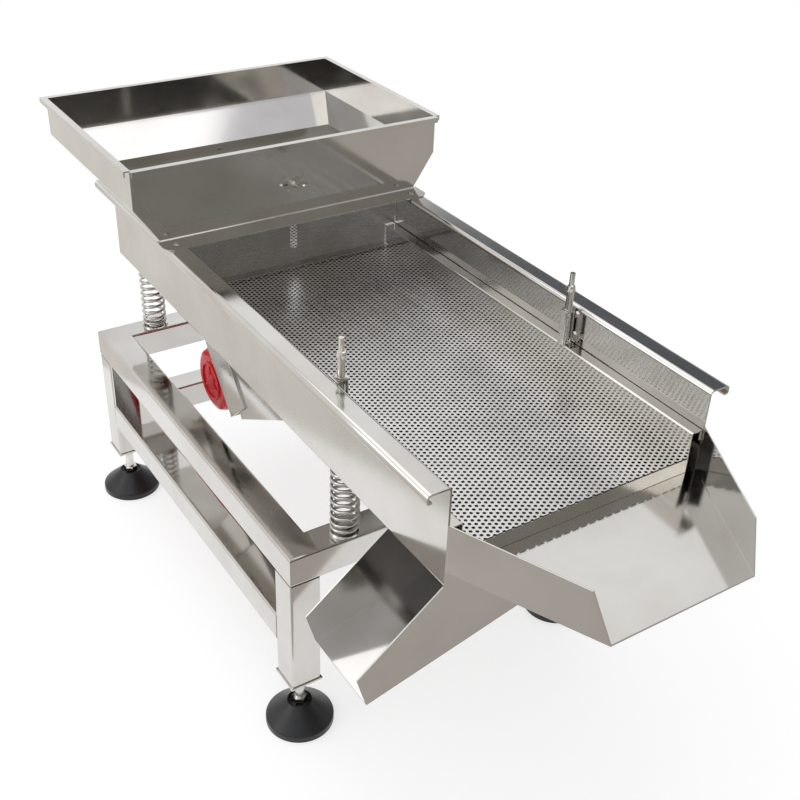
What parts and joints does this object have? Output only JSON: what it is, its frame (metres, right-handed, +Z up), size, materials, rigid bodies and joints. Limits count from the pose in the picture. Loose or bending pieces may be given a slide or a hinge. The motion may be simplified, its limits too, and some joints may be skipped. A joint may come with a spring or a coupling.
{
  "type": "vibrating sieve",
  "caption": "Stainless linear vibrating sieve: feed hopper with a lifting gate, spring-mounted trough over a perforated screen, side fines chute and front oversize chute.",
  "frame": {"origin": "on the floor, under the middle of the sieve's outer box", "axes": "+Z up; +Y from the discharge end to the hopper end; +X to the right when seen from the discharge end, so the fines chute points to -X"},
  "size_m": [0.49, 1.038, 0.573],
  "materials": {
    "polished_tube": "mirror-polished stainless tube",
    "brushed_sheet": "brushed stainless sheet",
    "perforated_screen": "bright perforated stainless sheet",
    "bright_fasteners": "bright",
    "spring_steel": "bright zinc",
    "black_plastic": "satin black",
    "red_enamel": "gloss red enamel",
    "laminated_steel": "plain"
  },
  "bodies": {
    "frame": {"leg_front_left": "polished_tube", "leg_front_right": "polished_tube", "leg_rear_left": "polished_tube", "leg_rear_right": "polished_tube", "top_rail_front": "polished_tube", "top_rail_rear": "polished_tube", "top_rail_left": "polished_tube", "top_rail_right": "polished_tube", "lower_rail_left": "polished_tube", "lower_rail_right": "polished_tube", "lower_rail_rear": "polished_tube", "leg_end_plates": "polished_tube", "foot_lock_nuts": "bright_fasteners", "spring_seats_lower": "bright_fasteners", "spring_front_left": "spring_steel", "spring_front_right": "spring_steel", "spring_rear_left": "spring_steel", "spring_rear_right": "spring_steel"},
    "foot_front_left": {"foot_pad_front_left": "black_plastic", "foot_stem_front_left": "bright_fasteners"},
    "foot_front_right": {"foot_pad_front_right": "black_plastic", "foot_stem_front_right": "bright_fasteners"},
    "foot_rear_left": {"foot_pad_rear_left": "black_plastic", "foot_stem_rear_left": "bright_fasteners"},
    "foot_rear_right": {"foot_pad_rear_right": "black_plastic", "foot_stem_rear_right": "bright_fasteners"},
    "trough": {"trough_shell": "brushed_sheet", "trough_rear_wall": "brushed_sheet", "support_angles": "brushed_sheet", "fines_chute": "brushed_sheet", "oversize_chute": "brushed_sheet", "tray_frame": "brushed_sheet", "screen_sheet": "perforated_screen", "hopper": "brushed_sheet", "gate_bolt": "bright_fasteners", "gate_washer": "bright_fasteners", "clamp_bracket_left": "bright_fasteners", "clamp_bracket_right": "bright_fasteners", "clamp_stop_nuts": "bright_fasteners", "clamp_bracket_bolts": "bright_fasteners", "deck_bolts": "bright_fasteners", "motor_bolts": "bright_fasteners", "spring_seats_upper": "bright_fasteners", "motor_bracket": "brushed_sheet", "motor_gussets": "brushed_sheet", "motor_body": "red_enamel", "motor_cap_left": "red_enamel", "motor_cap_right": "red_enamel", "motor_terminal_box": "black_plastic", "motor_stator": "laminated_steel", "motor_bearings": "bright_fasteners"},
    "gate": {"gate_plate": "brushed_sheet"},
    "gate_wing_nut": {"gate_nut": "bright_fasteners"},
    "clamp_left": {"clamp_saddle_left": "bright_fasteners"},
    "clamp_wing_nut_left": {"clamp_nut_left": "bright_fasteners"},
    "clamp_right": {"clamp_saddle_right": "bright_fasteners"},
    "clamp_wing_nut_right": {"clamp_nut_right": "bright_fasteners"},
    "rotor": {"motor_shaft": "bright_fasteners", "motor_rotor": "laminated_steel", "eccentric_weights": "laminated_steel"}
  },
  "joints": [
    {"name": "trough_vibration", "type": "slide", "parent": "frame", "child": "trough", "axis": [0, 0, 1], "range_m": [-0.004, 0.004], "stiffness_N_per_m": 46000, "springref_m": 0.00537, "deforming": ["spring_front_left", "spring_front_right", "spring_rear_left", "spring_rear_right"]},
    {"name": "gate_slide", "type": "slide", "parent": "trough", "child": "gate", "axis": [0, 0, 1], "range_m": [0, 0.072]},
    {"name": "gate_wing_nut_turn", "type": "hinge", "parent": "trough", "child": "gate_wing_nut", "pos_m": [0.007, 0.2128, 0.517], "axis": [0, -1, 0], "continuous": true},
    {"name": "rotor_spin", "type": "hinge", "parent": "trough", "child": "rotor", "pos_m": [0.007, 0.236, 0.247], "axis": [1, 0, 0], "continuous": true},
    {"name": "clamp_left_lift", "type": "slide", "parent": "trough", "child": "clamp_left", "axis": [0, 0, 1], "range_m": [0, 0.0135]},
    {"name": "clamp_wing_nut_left_turn", "type": "hinge", "parent": "clamp_left", "child": "clamp_wing_nut_left", "pos_m": [-0.141, -0.161, 0.497], "axis": [0, 0, 1], "range_deg": [0, 4320]},
    {"name": "clamp_right_lift", "type": "slide", "parent": "trough", "child": "clamp_right", "axis": [0, 0, 1], "range_m": [0, 0.0135]},
    {"name": "clamp_wing_nut_right_turn", "type": "hinge", "parent": "clamp_right", "child": "clamp_wing_nut_right", "pos_m": [0.155, -0.161, 0.497], "axis": [0, 0, 1], "range_deg": [0, 4320]},
    {"name": "foot_front_left_screw", "type": "slide", "parent": "frame", "child": "foot_front_left", "axis": [0, 0, 1], "range_m": [-0.02, 0.015]},
    {"name": "foot_front_right_screw", "type": "slide", "parent": "frame", "child": "foot_front_right", "axis": [0, 0, 1], "range_m": [-0.02, 0.015]},
    {"name": "foot_rear_left_screw", "type": "slide", "parent": "frame", "child": "foot_rear_left", "axis": [0, 0, 1], "range_m": [-0.02, 0.015]},
    {"name": "foot_rear_right_screw", "type": "slide", "parent": "frame", "child": "foot_rear_right", "axis": [0, 0, 1], "range_m": [-0.02, 0.015]}
  ],
  "couplings": [
    {"joint": "clamp_left_lift", "follows": "clamp_wing_nut_left_turn", "m_per_rad": 0.00015915},
    {"joint": "clamp_right_lift", "follows": "clamp_wing_nut_right_turn", "m_per_rad": 0.00015915}
  ]
}
